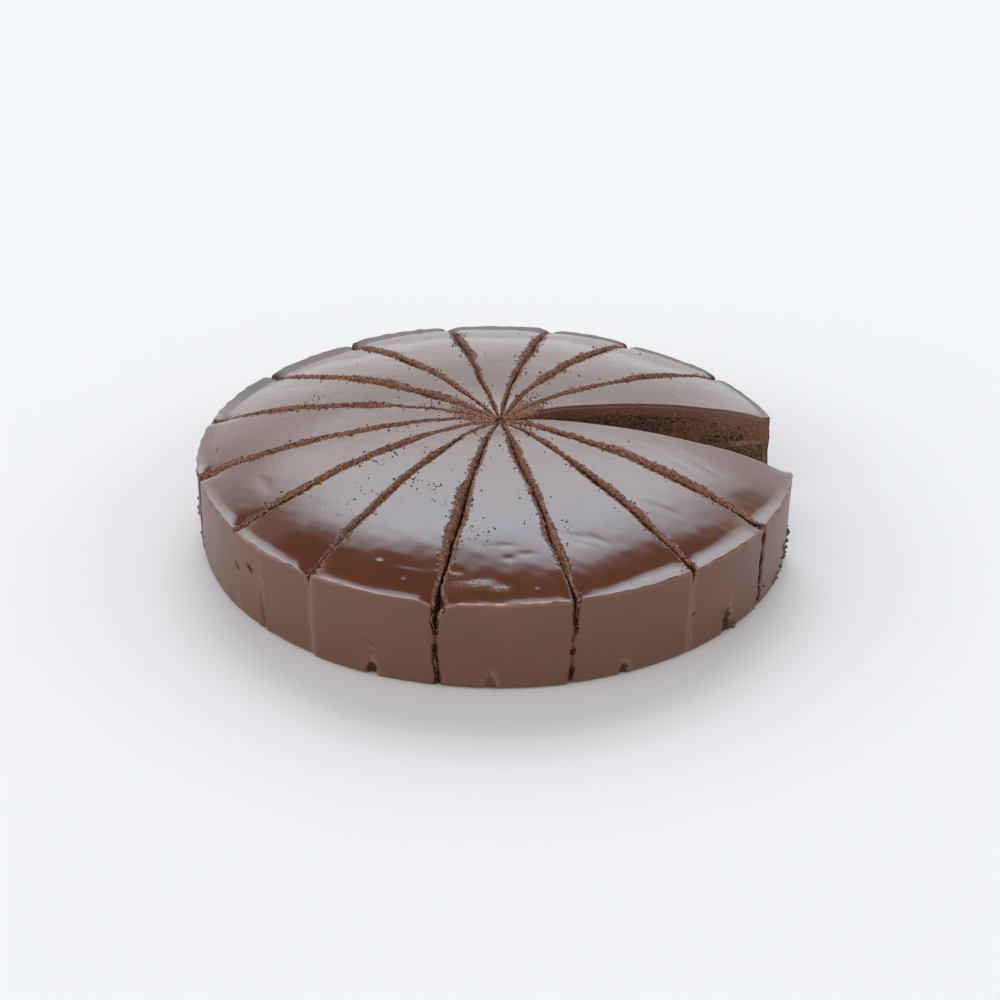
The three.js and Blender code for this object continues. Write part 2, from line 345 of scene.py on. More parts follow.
# How finely the icing is divided. The finer ring by the rim is this many ledges wide.
DOME_ROWS, LEDGE_ROWS, RIM_ROWS, SIDE_ROWS, BASE_ROWS = 150, 24, 7, 60, 4
TOP_ROWS = DOME_ROWS + LEDGE_ROWS
FINE_RING = 1.4
GROOVE_STEPS, SHOULDER_STEPS, LEVEL_STEPS = 8, 10, 56
WALL_STEPS, INNER_STEPS = 5, 8
SHARP_EDGE = math.radians(50)

# How finely the sponge is divided: where it shows, and where it is hidden in a cut
SHOWN_STEP = 0.00048
HIDDEN_STEP = 0.004
ARC_STEPS = 4
FEWEST_STEPS, FEWEST_ROUND_ROWS = 2, 4
SHOULDER_ARC = 1.4

# Camera, worked out from the photograph's perspective: a picture of 1000 by 1000 pixels
PICTURE_SIDE = 1000
FOCAL_PIXELS = 1630.0
SENSOR_WIDTH = 36.0
VIEW_DISTANCE = 5.536 * CAKE_RADIUS
VIEW_CENTRE_HEIGHT = 0.037
VIEW_ELEVATION = math.radians(27.52)
VIEW_YAW = math.radians(0.175)
VIEW_PITCH = math.radians(-1.743)
VIEW_ROLL = math.radians(0.657)

# Light of the room in front of the cake, to its sides and behind it, from low and from overhead
RING_BEFORE, RING_LEFT, RING_ASIDE, RING_BEHIND = 0.97, 2.2, 1.4, 1.5
OVERHEAD_BEFORE, OVERHEAD_BEHIND = 0.40, 0.10
RING_TOP, OVERHEAD_FOOT = 30, 48
ROOM_TINT = (0.95, 1.0, 1.04)
# Where it changes, as parts of a direction: from the left, from front to back, and behind
LEFT_TO_MIDDLE, FRONT_TO_BACK, ASIDE_TO_BEHIND = (-0.9, 0.0), (-0.25, 0.25), (0.3, 0.9)
# The round soft light behind, in degrees: where its middle stands, how far from there it starts and ends to
# fade, where its edge starts and ends, and between which heights it brightens
LIGHT_TURN, LIGHT_RISE = 0.2, 38
LIGHT_FADES, LIGHT_FADED = (13, 22.5), 0.47
LIGHT_EDGE = (21.2, 25.4)
LIGHT_BRIGHTENS = (20, 58)
LIGHT_BRIGHTNESS = 6.6
LOW_TINT, HIGH_TINT = (0.94, 1.0, 0.99), (0.83, 1.0, 1.18)
FLOOR_HALF = 12.0

UPWARD = math.pi / 2
FULL_TURN = 2 * math.pi
# How much shorter and longer the waves of an unevenness are than its wavelength
WAVE_SPREAD = (0.7, 1.5)
# How far apart the cuts, and the two sides of a cut, lie in an unevenness
CUTS_APART, SIDES_APART = 1.7, 0.01


def sine(degrees):
    return math.sin(math.radians(degrees))


def cosine(degrees):
    return math.cos(math.radians(degrees))


def lerp(a, b, t):
    return a + (b - a) * t


def smooth(t):
    t = np.clip(t, 0, 1)
    return t * t * (3 - 2 * t)


def between(value, low, high):
    """Rises smoothly from nothing at the low value to one at the high value."""
    return smooth((value - low) / (high - low))


def ripples(seed, wavelength, waves=16):
    """A smooth, repeatable unevenness of about unit height: the sum of random waves."""
    draw = np.random.default_rng(seed)
    ways = draw.normal(size=(waves, 3))
    ways /= np.linalg.norm(ways, axis=1, keepdims=True)
    numbers = FULL_TURN / (wavelength * draw.uniform(*WAVE_SPREAD, waves))
    phases = draw.uniform(0, FULL_TURN, waves)
    ways *= numbers[:, None]
    return lambda points: np.sin(points @ ways.T + phases).sum(axis=-1) * math.sqrt(2 / waves)


# Each unevenness, by seed and wavelength in metres
knife_sway = ripples(1, 0.030)
groove_swell = ripples(2, 0.022)
groove_rag = ripples(3, 0.0035)
icing_swell = ripples(4, SWELL_LENGTH)
icing_ripple = ripples(5, RIPPLE_LENGTH)
rim_rag = ripples(6, RAGGED_LENGTH)
chip_rag = ripples(7, 0.002)
crumb_clusters = ripples(8, 0.020)
ledge_swell = ripples(9, 0.035)
crack_rag = ripples(10, 0.0050)
crack_sway = ripples(11, 0.014)
layer_wave = ripples(12, 0.020)
layer_rag = ripples(13, 0.004)
groove_grit = ripples(14, 0.0016)


@dataclass
class Wedge:
    """A wedge between two cuts, of which the second is called the far one."""
    number: int
    start: float
    end: float
    tip: float
    rise: float
    reach: float

    @property
    def name(self):
        return f"slice_{self.number:02d}"

    def cut(self, far):
        """The number of its first cut, or of its far one, counted from 0."""
        return self.number - 1 + far

    def shows(self, far):
        """Whether the empty place lies beyond that cut."""
        return self.cut(far) in OPEN_CUTS


def wedges():
    """The wedges between one cut and the next, as uneven as the solids."""
    state = WEDGE_SEED

    def draw():
        nonlocal state
        state = (state * DRAW_STEP) % DRAW_LIMIT
        return 2 * state / DRAW_LIMIT - 1

    for index in range(len(CUT_ANGLES) - 1):
        start = math.radians(CUT_ANGLES[index])
        end = math.radians(CUT_ANGLES[index + 1])
        tip = (GAP_AT_CENTRE + TIP_WIDTH) / 2 / math.sin((end - start) / 2)
        rise = UNEVEN_RISE * draw()
        reach = UNEVEN_REACH * draw()
        yield Wedge(index + 1, start, end, tip, rise, reach)


def to_points(radius, angle, height):
    """Points from radius, angle and height. Near the middle they are drawn to where the cuts meet."""
    drawn = np.exp(-((radius / MEETING_REACH) ** 2))
    x = radius * np.cos(angle) + drawn * MEETING_SHIFT[0]
    y = radius * np.sin(angle) + drawn * MEETING_SHIFT[1]
    return np.stack(np.broadcast_arrays(x, y, height), axis=-1)


def at_back(angle):
    return between(np.sin(angle), *BACK_STARTS)


def ledge_shape(angle):
    """Width of the ledge near the rim, how much it turns up there, and over what length."""
    degrees = np.degrees(angle % FULL_TURN)
    front = between(degrees, *FRONT_STARTS) * (1 - between(degrees, *FRONT_ENDS))
    right = between(degrees, *RIGHT_STARTS) * (1 - between(degrees, *RIGHT_ENDS))
    left = between(-np.cos(angle), *LEFT_STARTS)
    back = at_back(angle)
    uneven = lerp(lerp(UNEVEN_LEDGE, UNEVEN_FRONT, front), UNEVEN_LIP, back)
    uneven = 1 + uneven * ledge_swell(to_points(CAKE_RADIUS, angle, 0))
    ahead = lerp(lerp(1, FRONT_WIDTH, front), RIGHT_WIDTH, right)
    width = LEDGE_WIDTH * lerp(ahead, lerp(BACK_WIDTH, LEFT_WIDTH, left), back)
    slope = lerp(lerp(1, FRONT_LEDGE, front), lerp(BACK_LEDGE, LEFT_LEDGE, left), back)
    return width, LEDGE_SLOPE * uneven * slope, lerp(width, LIP_BLEND, back)


def crown(radius, angle, wedge):
    """Height of the domed top away from the cuts. Near the rim it turns up, as a narrow uneven ledge."""
    share = radius / CAKE_RADIUS
    width, slope, blend = ledge_shape(angle)
    fall = CROWN_HEIGHT - RIM_HEIGHT + slope * (width - blend / 2)
    into = np.maximum(radius - CAKE_RADIUS + width, 0)
    turn = slope * np.where(into < blend, into**2 / (2 * blend), into - blend / 2)
    sunk = TIP_SINK * np.exp(-((radius / TIP_REACH) ** 2))
    return CROWN_HEIGHT - fall * share**CROWN_POWER + turn + wedge.rise * share**2 - sunk


def place_on_cut(cut, radius, height):
    """A place in the unevenness that belongs to one cut."""
    return np.stack(np.broadcast_arrays(radius, height, cut * CUTS_APART), axis=-1)


def near_side(radius):
    return between(radius / CAKE_RADIUS, *SIDE_STARTS)


def gap_width(cut, far, radius, height):
    """Width of the knife's gap. It is open at the top, and a fine, broken crack lower on the side."""
    share = radius / CAKE_RADIUS
    inside = lerp(GAP_AT_CENTRE, GAP_AT_RIM, share)
    if cut in OPEN_CUTS:
        return inside
    crack, open_depth = SIDE_CRACKS.get(cut, PLAIN_CRACK)
    low = lerp(inside, crack, near_side(radius))
    top = lerp(GAP_AT_CENTRE, TOP_GAPS.get(cut, PLAIN_TOP_GAP), share)
    top = lerp(top, RIM_NOTCHES.get(cut, PLAIN_NOTCH), near_side(radius))
    open_top = smooth((height - RIM_HEIGHT + open_depth) / open_depth)
    rag = CRACK_RAG * crack * near_side(radius) * crack_rag(place_on_cut(cut, radius, height) + far)
    return np.maximum(lerp(low, top, open_top) + rag, SHUT_GAP)


def wall_angle(wedge, far, radius, height):
    """Angle of a wedge's wall at its first cut, or at its far one, with half of the knife's gap."""
    cut = wedge.cut(far)
    here = place_on_cut(cut, radius, height)
    half = gap_width(cut, far, radius, height) / 2
    sway = KNIFE_SWAY * radius / CAKE_RADIUS * knife_sway(here)
    sway = sway + near_side(radius) * CRACK_SWAY * crack_sway(here)
    if far:
        return wedge.end - np.arcsin(np.clip((half - sway) / radius, -1, 1))
    return wedge.start + np.arcsin(np.clip((half + sway) / radius, -1, 1))


def groove_width(wedge, far, radius):
    """Width of one side of the groove along a cut. It is widest midway and uneven."""
    if wedge.shows(far):
        return np.full_like(radius, CLEAN_EDGE)
    cut = wedge.cut(far)
    share = radius / CAKE_RADIUS
    at_tip = GROOVE_AT_TIP * WIDE_AT_TIP.get(cut, 1)
    lean = 1 + GROOVE_LEANS.get(cut, 0) * (1 if far else -1)
    inner = lerp(at_tip, GROOVE_AT_MIDDLE * GROOVE_SCALES[cut] * lean, smooth(share / GROOVE_WIDEST))
    width = lerp(inner, GROOVE_AT_RIM * WIDE_AT_RIM.get(cut, 1), between(share, *GROOVE_NARROWS))
    here = place_on_cut(cut, radius, SIDES_APART * far)
    uneven = 1 + GROOVE_SWELL * groove_swell(here) + GROOVE_RAG * groove_rag(here)
    return width * np.clip(uneven, *GROOVE_LIMITS)


def icing_rows(wedge):
    """Rows of the icing's outside, from the tip over the rim to the base.

    Each row has its radius, the radius at which it follows the crown, its facing as an angle above the
    horizontal, how far it follows the crown's height, and a height of its own.
    """
    reach = CAKE_RADIUS + wedge.reach
    round_start = reach - RIM_ROUND
    ledge_start = CAKE_RADIUS - FINE_RING * LEDGE_WIDTH
    dome = np.linspace(wedge.tip, ledge_start, DOME_ROWS, endpoint=False)
    ledge = np.linspace(ledge_start, round_start, LEDGE_ROWS)
    rim = np.linspace(UPWARD, 0, RIM_ROWS + 1)[1:]
    down = np.linspace(1, 0, SIDE_ROWS + 1)[1:]
    foot = np.linspace(0, UPWARD, BASE_ROWS + 1)[1:]
    radius = np.concatenate([
        dome,
        ledge,
        round_start + RIM_ROUND * np.cos(rim),
        np.full(SIDE_ROWS, reach),
        reach - BASE_ROUND * (1 - np.cos(foot)),
    ])
    own_height = np.concatenate([
        np.zeros(TOP_ROWS),
        RIM_ROUND * (np.sin(rim) - 1),
        lerp(BASE_ROUND, -RIM_ROUND, down),
        BASE_ROUND * (1 - np.sin(foot)),
    ])
    facing = np.concatenate([np.full(TOP_ROWS, UPWARD), rim, np.zeros(SIDE_ROWS + BASE_ROWS)])
    follow = np.concatenate([np.ones(TOP_ROWS + RIM_ROWS), down, np.zeros(BASE_ROWS)])
    rows = (radius, np.minimum(radius, round_start), facing, follow, own_height)
    return [row[:, None] for row in rows]


def sponge_outline(wedge, top_rows, round_rows):
    """Radius and height of the sponge's outside: domed top, then a rounded shoulder."""
    shoulder_start = SPONGE_RADIUS - SHOULDER_REACH
    top = np.linspace(wedge.tip, shoulder_start, top_rows)
    turn = np.linspace(UPWARD, 0, round_rows + 1)[1:]
    shoulder_fall = crown(shoulder_start, wedge.start, wedge) - TOP_ICING - SHOULDER_FOOT
    radius = np.concatenate([top, shoulder_start + SHOULDER_REACH * np.cos(turn)])
    dome = crown(top, wedge.start, wedge) - TOP_ICING
    height = np.concatenate([dome, SHOULDER_FOOT + shoulder_fall * np.sin(turn)])
    here = place_on_cut(wedge.cut(0), radius, 0)
    uneven = LAYER_WAVE * layer_wave(here) + LAYER_RAG * layer_rag(here)
    return radius, height + uneven * smooth((SPONGE_RADIUS - radius) / LAYER_CALM)


def loft(name, loops, material, values):
    """A closed solid through rows of closed loops of points, with a cap at each end."""
    rows, columns = loops.shape[:2]
    index = np.arange(rows * columns).reshape(rows, columns)
    near, next_row = index[:-1], index[1:]
    quads = np.stack([near, next_row, np.roll(next_row, -1, axis=1), np.roll(near, -1, axis=1)], axis=-1)
    faces = quads.reshape(-1, 4).tolist() + [index[0].tolist(), index[-1][::-1].tolist()]
    return solid(name, loops.reshape(-1, 3), faces, material, values)


def solid(name, points, faces, material, values=None):
    """A mesh of points and faces, with named values at its points."""
    mesh = bpy.data.meshes.new(name)
    mesh.from_pydata(points.tolist(), [], faces)
    for label, value in (values or {}).items():
        column = mesh.attributes.new(label, "FLOAT", "POINT")
        column.data.foreach_set("value", value.ravel().astype(np.float32))
    mesh.polygons.foreach_set("use_smooth", np.ones(len(mesh.polygons), bool))
    mesh.set_sharp_from_angle(angle=SHARP_EDGE)
    if material:
        mesh.materials.append(material)
    piece = bpy.data.objects.new(name, mesh)
    bpy.context.scene.collection.objects.link(piece)
    return piece


def finish_piece(piece, slot, *nodes):
    """Every piece belongs to the one rigid body."""
    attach(piece, "root")
    if nodes:
        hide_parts(*nodes)


def columns_across(span, groove, shoulder):
    """Distances from a wedge's first wall, close together in the grooves and wider between them."""
    steps = np.arange(GROOVE_STEPS + 1) / GROOVE_STEPS
    beyond = np.arange(1, SHOULDER_STEPS + 1) / SHOULDER_STEPS
    level = np.arange(1, LEVEL_STEPS) / LEVEL_STEPS
    first, last = (
        np.concatenate([width * steps, lerp(width, end, beyond)], axis=1)
        for width, end in zip(groove, shoulder)
    )
    middle = lerp(shoulder[0], span - shoulder[1], level)
    return np.concatenate([first, middle, span - last[:, ::-1]], axis=1)


def at_spot(radius, angle, spot_angle, spot_radius, length, width):
    """A soft spot on the top, one at its middle and fading to nothing."""
    along = (angle - math.radians(spot_angle)) * spot_radius / length
    return np.exp(-(along**2) - ((radius - spot_radius) / width) ** 2)


def marks_on_top(radius, angle):
    """Rise of the low marks in the top, and how scuffed it is."""
    rise = sum(height * at_spot(radius, angle, *place) for *place, height in TOP_MARKS)
    for stroke_angle, stroke_radius, way, length, width, depth in STROKES:
        right = radius * np.cos(angle) - stroke_radius * cosine(stroke_angle)
        ahead = radius * np.sin(angle) - stroke_radius * sine(stroke_angle)
        along = (right * cosine(way) + ahead * sine(way)) / length
        beside = (ahead * cosine(way) - right * sine(way)) / width
        rise = rise - depth * np.exp(-(along**2) - beside**2)
    scuff = sum(amount * at_spot(radius, angle, *place) for *place, amount in TOP_SCUFFS)
    return rise, scuff


def rim_highlight(angle):
    """How much of a pale painted highlight the rim has: most at the front and to its left."""
    degrees = np.degrees(angle % FULL_TURN)
    front = between(degrees, *RIM_HIGHLIGHT_STARTS) * (1 - between(degrees, *RIM_HIGHLIGHT_FADES))
    return lerp(FAINT_HIGHLIGHT, 1, front)


def dents_in_side(wedge, angle, height, rag):
    """How far a side stands out or in at its chip and its nicks, how much painted shade it takes there, and
    how scuffed it is.
    """
    stands_out, dark, lip = np.zeros((3, *angle.shape))
    if wedge.number in CHIPS:
        at, half, tall, depth = CHIPS[wedge.number]
        across = (angle - math.radians(at)) * CAKE_RADIUS + CHIP_RAG * rag
        inward = half * (1 - np.hypot(across / half, height / tall))
        hollow = smooth(inward / CHIP_EDGE)
        lip = np.exp(-((inward / CHIP_EDGE) ** 2)) * np.where(across > 0, 1, LEFT_LIP)
        stands_out = CHIP_LIP * lip - depth * hollow
        # Painted shade in the chip's hollow, where it is deep enough
        dark = CHIP_SHADE * hollow * smooth(depth / DEEP_CHIP)
    for nick_angle, nick_height, length, width, nick_depth, shade_amount in SIDE_NICKS:
        right = (angle - math.radians(nick_angle)) * CAKE_RADIUS
        above = height - nick_height
        along = (right * math.cos(NICK_TILT) + above * math.sin(NICK_TILT)) / length
        beside = (above * math.cos(NICK_TILT) - right * math.sin(NICK_TILT)) / width
        nick = np.exp(-((along**2 + beside**2) ** 2))
        stands_out = stands_out - nick_depth * nick
        # Painted shade in the nick
        dark = np.maximum(dark, np.minimum(shade_amount * nick, 1))
    return stands_out, dark, LIP_SCUFF * lip


def shape_by_cut(wedge, far, distance, groove, shoulder, radius):
    """How far the top has sunk beside a cut, and how far the side is pared there."""
    cut = wedge.cut(far)
    before, after = CORNERS.get(cut, PLAIN_CORNER)
    at_corner = smooth((radius - CAKE_RADIUS + CORNER_REACH) / CORNER_REACH)
    corner_drop = CORNER_DROP * (before if far else after) * at_corner
    in_groove = np.clip(1 - distance / groove, 0, 1)
    in_corner = np.clip(1 - distance / shoulder, 0, 1)
    in_edge = np.clip(1 - distance / SIDE_EDGE_WIDTH, 0, 1)
    edge_drop = SIDE_EDGE_DROP * (SMEARED_EDGE if cut in SMEARED_CUTS else 1)
    sunk = GROOVE_STEEPNESS * groove * in_groove**GROOVE_CURVE + corner_drop * in_corner**2
    return sunk, edge_drop * in_edge**2


def looks_by_cut(wedge, far, distance, groove, radius, edge):
    """How crumbly and how near the groove of a cut is, with painted shade at its bottom, how smeared the side
    is, and the crumbs and painted shade along its crack.
    """
    cut = wedge.cut(far)
    crumbly, beside, smear, beside_crack, crack_shade = np.zeros((5, *distance.shape))
    if not wedge.shows(far):
        shade = GROOVE_SHADES.get(cut, PLAIN_SHADE)
        # Past about 1.15 this also gives the groove's bottom painted shade
        crumbly = np.clip(shade * (1 - distance / (CRUMB_REACH * groove)), 0, DEEP_CUT)
        beside = np.exp(-np.maximum(distance - groove, 0) / CRUMB_SPREAD)
    if cut in SMEARED_CUTS:
        smear = np.exp(-((distance / SMEAR_WIDTH) ** 2))
    else:
        beside_crack = np.clip(1 - distance / CRACK_CRUMBS, 0, 1)
        dashes = smooth(CRACK_DASHES + crack_rag(place_on_cut(cut, radius, edge)))
        crack_shade = dashes * np.clip(CRACK_CORE - distance / CRACK_SHADE, 0, 1)
    return np.stack([crumbly, beside, smear, beside_crack, crack_shade])


def icing_sheet(wedge):
    """The icing's outside as rows and columns of points, with what each point looks like."""
    radius, crown_radius, facing, follow, own_height = icing_rows(wedge)
    groove = [groove_width(wedge, far, radius) for far in (0, 1)]
    edge = [
        own_height + follow * (crown(crown_radius, cut_angle, wedge) - GROOVE_STEEPNESS * width)
        for cut_angle, width in zip((wedge.start, wedge.end), groove)
    ]
    start, end = (wall_angle(wedge, far, radius, edge[far]) for far in (0, 1))
    span = (end - start) * radius
    groove = [np.minimum(width, GROOVE_SHARE * span) for width in groove]
    shoulder = [np.minimum(width + CORNER_WIDTH, SHOULDER_SHARE * span) for width in groove]
    across = columns_across(span, groove, shoulder)
    angle = start + across / radius
    outward, upward = np.cos(facing), np.sin(facing)

    sunk, pared, by_cut = 0, 0, 0
    for far, distance in ((0, across), (1, span - across)):
        sunk_here, pared_here = shape_by_cut(wedge, far, distance, groove[far], shoulder[far], radius)
        sunk = sunk + sunk_here
        pared = pared + pared_here
        by_cut = np.maximum(by_cut, looks_by_cut(wedge, far, distance, groove[far], radius, edge[far]))
    crumbly, beside, smear, beside_crack, crack_shade = by_cut
    clean = between(np.sin(angle), *CLEAN_BACK) * between(CAKE_RADIUS - radius, *CLEAN_RIM)
    cut = lerp(crumbly * (1 - CLEANED * clean), CRACK_COVER * beside_crack, outward)
    from_tip = radius / TORN_TIPS[wedge.number]
    cut = np.maximum(cut, upward * np.clip(TORN_EDGE - from_tip, 0, 1))
    beside = np.maximum(beside, smooth(TORN_CRUMBS - from_tip)) * upward
    width, _, blend = ledge_shape(angle)
    # Where the lip at the back lies, for its painted shade
    on_lip = at_back(angle) * smooth((radius - CAKE_RADIUS + width) / blend) * smooth(2 * upward)

    radius = radius - pared * outward
    height = own_height + follow * (crown(crown_radius, angle, wedge) - sunk)
    flat = to_points(radius, angle, height)
    rise, scuffed_top = marks_on_top(radius, angle)
    stands_out, dark, lip = dents_in_side(wedge, angle, height, chip_rag(flat))
    to_rim = (radius - CAKE_RADIUS) ** 2 + (height - height[TOP_ROWS]) ** 2
    lift = SWELL_HEIGHT * icing_swell(flat) + RIPPLE_HEIGHT * icing_ripple(flat)
    lift = lift + upward * rise + outward * stands_out + GROOVE_GRIT * upward * cut * groove_grit(flat)
    lift = lift + np.exp(-to_rim / RAGGED_REACH**2) * RAGGED_RIM * outward * rim_rag(flat)
    radius = radius + outward * lift
    height = np.maximum(height + upward * lift, 0)
    looks = {
        "cut": cut,
        "side": np.broadcast_to(outward, across.shape),
        # A pale painted highlight along the rim edge
        "rim": np.exp(-to_rim / RIM_HIGHLIGHT_REACH**2) * rim_highlight(angle),
        "scuff": np.maximum(smear, lip) * outward + scuffed_top * upward,
        # Painted shade: in the chips and nicks and along the cracks of the side, and on the lip at the back
        "dark": np.maximum(dark, crack_shade) * outward + LIP_SHADE * on_lip,
    }
    return radius, angle, height, looks, beside


def from_wall_to_wall(wedge, radius, height, share):
    """Rows of points across a wedge, at shares of the way from its first wall to its far one."""
    start, end = (wall_angle(wedge, far, radius, height) for far in (0, 1))
    return to_points(radius, lerp(start, end, share), height)


def wall_between(wedge, far, radius_a, height_a, radius_b, height_b, steps):
    """Rows of points in a cut's wall, between two edges that lie on it."""
    share = np.arange(1, steps) / steps
    radius = lerp(radius_a, radius_b, share)
    height = lerp(height_a, height_b, share)
    return to_points(radius, wall_angle(wedge, far, radius, height), height)


def look_of_wall(label, shows):
    """A look of the icing in a cut's wall, which is as dull as the side, and crumbly with painted shade where
    it is hidden.
    """
    if label == "cut":
        return KNIFE_DRAG if shows else DEEP_CUT
    return 1 if label == "side" else 0


def make_icing(wedge, material):
    """The icing of a wedge. It hands back its outside, how crumbly that is and how near the grooves are."""
    radius, angle, height, looks, beside = icing_sheet(wedge)
    outer = to_points(radius, angle, height)
    inner_radius, inner_height = sponge_outline(wedge, TOP_ROWS, RIM_ROWS)
    inner_radius = np.concatenate([inner_radius, np.full(SIDE_ROWS + BASE_ROWS, SPONGE_RADIUS)])[:, None]
    down = np.linspace(SHOULDER_FOOT, 0, SIDE_ROWS + BASE_ROWS + 1)[1:]
    inner_height = np.concatenate([inner_height, down])[:, None]
    inner = from_wall_to_wall(wedge, inner_radius, inner_height, np.linspace(1, 0, INNER_STEPS + 1))
    far_wall = wall_between(wedge, 1, radius[:, -1:], height[:, -1:], inner_radius, inner_height, WALL_STEPS)
    near_wall = wall_between(wedge, 0, inner_radius, inner_height, radius[:, :1], height[:, :1], WALL_STEPS)
    loops = np.concatenate([outer, far_wall, inner, near_wall], axis=1)

    hidden = np.zeros(inner.shape[:2])
    wall = np.ones(far_wall.shape[:2])
    values = {}
    for label, look in looks.items():
        far_look, near_look = (wall * look_of_wall(label, wedge.shows(far)) for far in (1, 0))
        values[label] = np.concatenate([look, far_look, hidden, near_look], axis=1)
    piece = loft(f"icing_{wedge.number:02d}", loops, material, values)
    finish_piece(piece, "icing", f"{wedge.name}_icing")
    return outer, looks["cut"], beside


def make_layer(wedge, face_tree, name, slot, material, face, top, bottom):
    """One layer of a wedge, from rows of radius and height at its top and bottom."""
    shown = [wedge.shows(far) for far in (0, 1)]
    tall = float(np.max(top[1] - bottom[1]))
    steps = [max(FEWEST_STEPS, round(tall / (SHOWN_STEP if show else HIDDEN_STEP))) for show in shown]
    top_radius, top_height, low_radius, low_height = (row[:, None] for row in (*top, *bottom))
    share = np.linspace(0, 1, ARC_STEPS + 1)
    upper = from_wall_to_wall(wedge, top_radius, top_height, share)
    lower = from_wall_to_wall(wedge, low_radius, low_height, share[::-1])
    far_wall = wall_between(wedge, 1, top_radius, top_height, low_radius, low_height, steps[1])
    near_wall = wall_between(wedge, 0, low_radius, low_height, top_radius, top_height, steps[0])
    loops = np.concatenate([upper, far_wall, lower, near_wall], axis=1)
    parts = ((upper, 0), (far_wall, shown[1]), (lower, 0), (near_wall, shown[0]))
    cut = np.concatenate([np.full(part.shape[:2], float(show)) for part, show in parts], axis=1)
    for far, columns in ((1, (ARC_STEPS, ARC_STEPS + steps[1])), (0, (-steps[0], 0))):
        for column in columns:
            cut[:, column] = EDGE_RELIEF * shown[far]
    piece = loft(f"{name}_{wedge.number:02d}", loops, material, {"cut": cut})
    if any(shown):
        apply_nodes(piece, face_tree, face)
    finish_piece(piece, slot, f"{wedge.name}_{name}")


def make_sponge_and_filling(wedge, face_tree, sponge, filling):
    """The three layers under a wedge's icing."""
    step = SHOWN_STEP if wedge.shows(0) or wedge.shows(1) else HIDDEN_STEP
    top_rows = round(SPONGE_RADIUS / step)
    round_rows = max(FEWEST_ROUND_ROWS, round(SHOULDER_REACH * SHOULDER_ARC / step))
    outline = sponge_outline(wedge, top_rows, round_rows)
    across = np.linspace(wedge.tip, SPONGE_RADIUS, top_rows + round_rows)
    filling_top, filling_bottom, base = (
        (across, np.full_like(across, height)) for height in (FILLING_TOP, FILLING_BOTTOM, 0)
    )
    layers = (
        ("sponge_upper", "sponge", sponge, SPONGE_FACE, outline, filling_top),
        ("filling", "filling", filling, FILLING_FACE, filling_top, filling_bottom),
        ("sponge_lower", "sponge", sponge, SPONGE_FACE, filling_bottom, base),
    )
    for layer in layers:
        make_layer(wedge, face_tree, *layer)


class NodeMaker:
    """Adds nodes to a tree. A value given for an input is set on it, and a socket is joined to it."""

    def __init__(self, tree):
        self.tree = tree

    def join(self, value, socket):
        if isinstance(value, bpy.types.NodeSocket):
            self.tree.links.new(value, socket)
        else:
            socket.default_value = value

    def fill(self, node, inputs):
        for name, value in inputs.items():
            self.join(value, node.inputs[name])

    def add(self, kind, inputs=None, **settings):
        node = self.tree.nodes.new(kind)
        for name, value in settings.items():
            setattr(node, name, value)
        self.fill(node, inputs or {})
        return node

    def math(self, operation, a, b):
        return self.add("ShaderNodeMath", {0: a, 1: b}, operation=operation).outputs[0]

    def plus(self, a, b):
        return self.math("ADD", a, b)

    def minus(self, a, b):
        return self.math("SUBTRACT", a, b)

    def times(self, a, b):
        return self.math("MULTIPLY", a, b)

    def larger(self, a, b):
        return self.math("MAXIMUM", a, b)

    def vector(self, operation, a, b):
        return self.add("ShaderNodeVectorMath", {0: a, 1: b}, operation=operation)

    def scaled(self, vector, scale):
        return self.add("ShaderNodeVectorMath", {0: vector, "Scale": scale}, operation="SCALE").outputs[0]

    def noise(self, place, scale, detail=2.0, roughness=0.5, output=0):
        inputs = {"Vector": place, "Scale": scale, "Detail": detail, "Roughness": roughness}
        return self.add("ShaderNodeTexNoise", inputs).outputs[output]

    def fit(self, value, low, high, to_low=0.0, to_high=1.0):
        inputs = {"Value": value, "From Min": low, "From Max": high, "To Min": to_low, "To Max": to_high}
        return self.add("ShaderNodeMapRange", inputs, interpolation_type="SMOOTHSTEP").outputs["Result"]

    def blend(self, share, a, b):
        node = self.add("ShaderNodeMix", {"Factor": share}, data_type="RGBA")
        for name, value in (("A", a), ("B", b)):
            socket = next(s for s in node.inputs if s.name == name and s.type == "RGBA")
            self.join((*value, 1) if isinstance(value, tuple) else value, socket)
        return next(s for s in node.outputs if s.type == "RGBA")

    def bump(self, height):
        return self.add("ShaderNodeBump", {"Height": height, "Distance": 1.0}).outputs[0]

    def look(self, label):
        """A look that a piece's points carry, read by its material."""
        return self.add("ShaderNodeAttribute", attribute_name=label).outputs["Fac"]

    def named(self, label):
        """A value that a piece's points carry, read by a Geometry Nodes tree."""
        node = self.add("GeometryNodeInputNamedAttribute", {"Name": label}, data_type="FLOAT")
        return node.outputs["Attribute"]

    def stored(self, geometry, label, value):
        inputs = {"Geometry": geometry, "Name": label, "Value": value}
        settings = {"data_type": "FLOAT", "domain": "POINT"}
        return self.add("GeometryNodeStoreNamedAttribute", inputs, **settings).outputs[0]

    def drawn_vector(self, seed, low, high):
        inputs = {"Min": (low,) * 3, "Max": (high,) * 3, "Seed": seed}
        return self.add("FunctionNodeRandomValue", inputs, data_type="FLOAT_VECTOR").outputs["Value"]


def geometry_tree(name, sizes):
    """A new Geometry Nodes tree with named inputs, and a maker for its nodes."""
    tree = bpy.data.node_groups.new(name, "GeometryNodeTree")
    tree.interface.new_socket("Geometry", in_out="INPUT", socket_type="NodeSocketGeometry")
    for label, kind in sizes.items():
        tree.interface.new_socket(label, in_out="INPUT", socket_type=f"NodeSocket{kind}")
    tree.interface.new_socket("Geometry", in_out="OUTPUT", socket_type="NodeSocketGeometry")
    maker = NodeMaker(tree)
    return tree, maker, maker.add("NodeGroupInput").outputs


